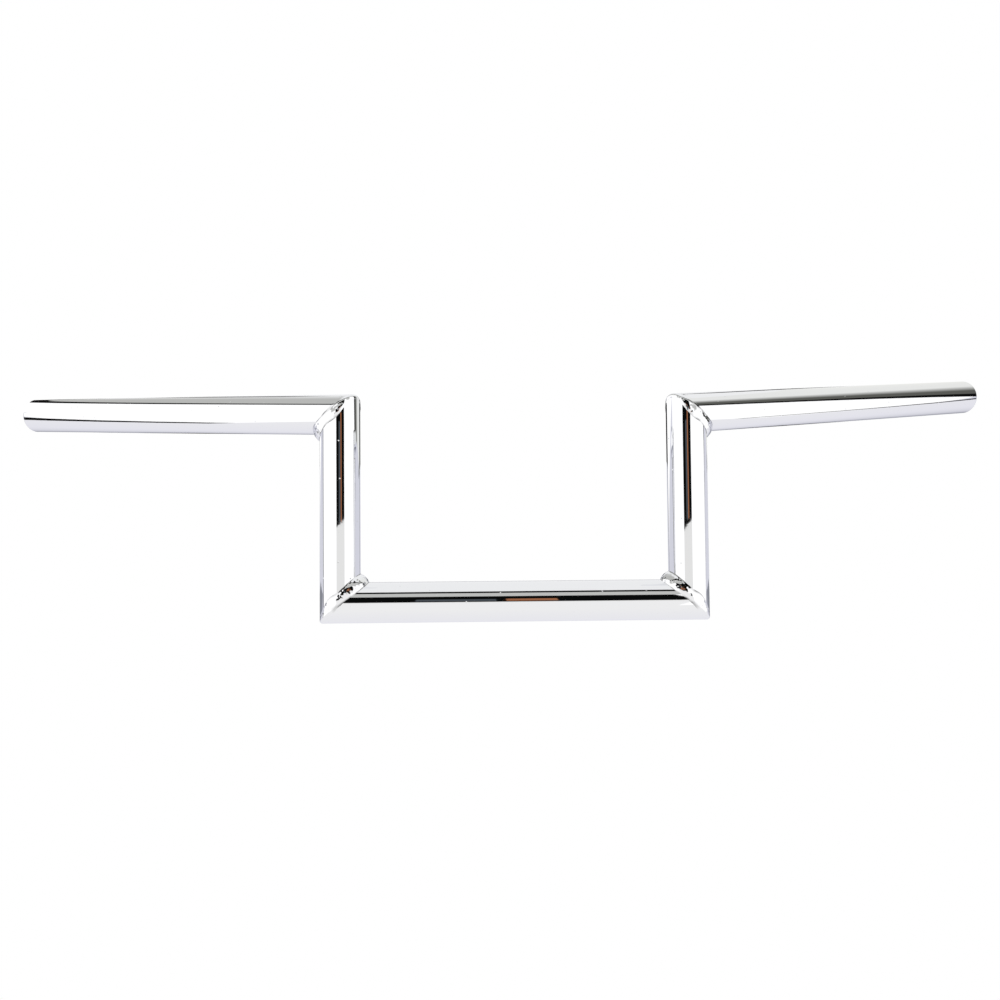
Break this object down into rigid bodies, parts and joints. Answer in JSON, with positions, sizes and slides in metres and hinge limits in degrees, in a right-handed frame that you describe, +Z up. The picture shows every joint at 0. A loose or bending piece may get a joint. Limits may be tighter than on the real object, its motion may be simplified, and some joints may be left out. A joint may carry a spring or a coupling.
{
  "type": "motorcycle handlebar",
  "caption": "Chromed z-bar handlebar of straight steel tubes welded at mitred corners: a clamp tube, upright risers and grip tubes swept back to open ends.",
  "frame": {"origin": "middle of the clamp tube's axis", "axes": "+X along the clamp tube, +Z up the risers, +Y towards the rider, the way the grip tubes sweep. Left and right are as seen looking along +Y"},
  "size_m": [0.6559, 0.1625, 0.1542],
  "materials": {
    "chromed_tube": "bright chrome plate over polished steel tube",
    "chromed_weld": "bright chrome plate over an unground weld bead"
  },
  "bodies": {
    "root": {"clamp_tube": "chromed_tube", "riser_left": "chromed_tube", "riser_right": "chromed_tube", "grip_tube_left": "chromed_tube", "grip_tube_right": "chromed_tube", "weld_beads": "chromed_weld"}
  },
  "joints": []
}
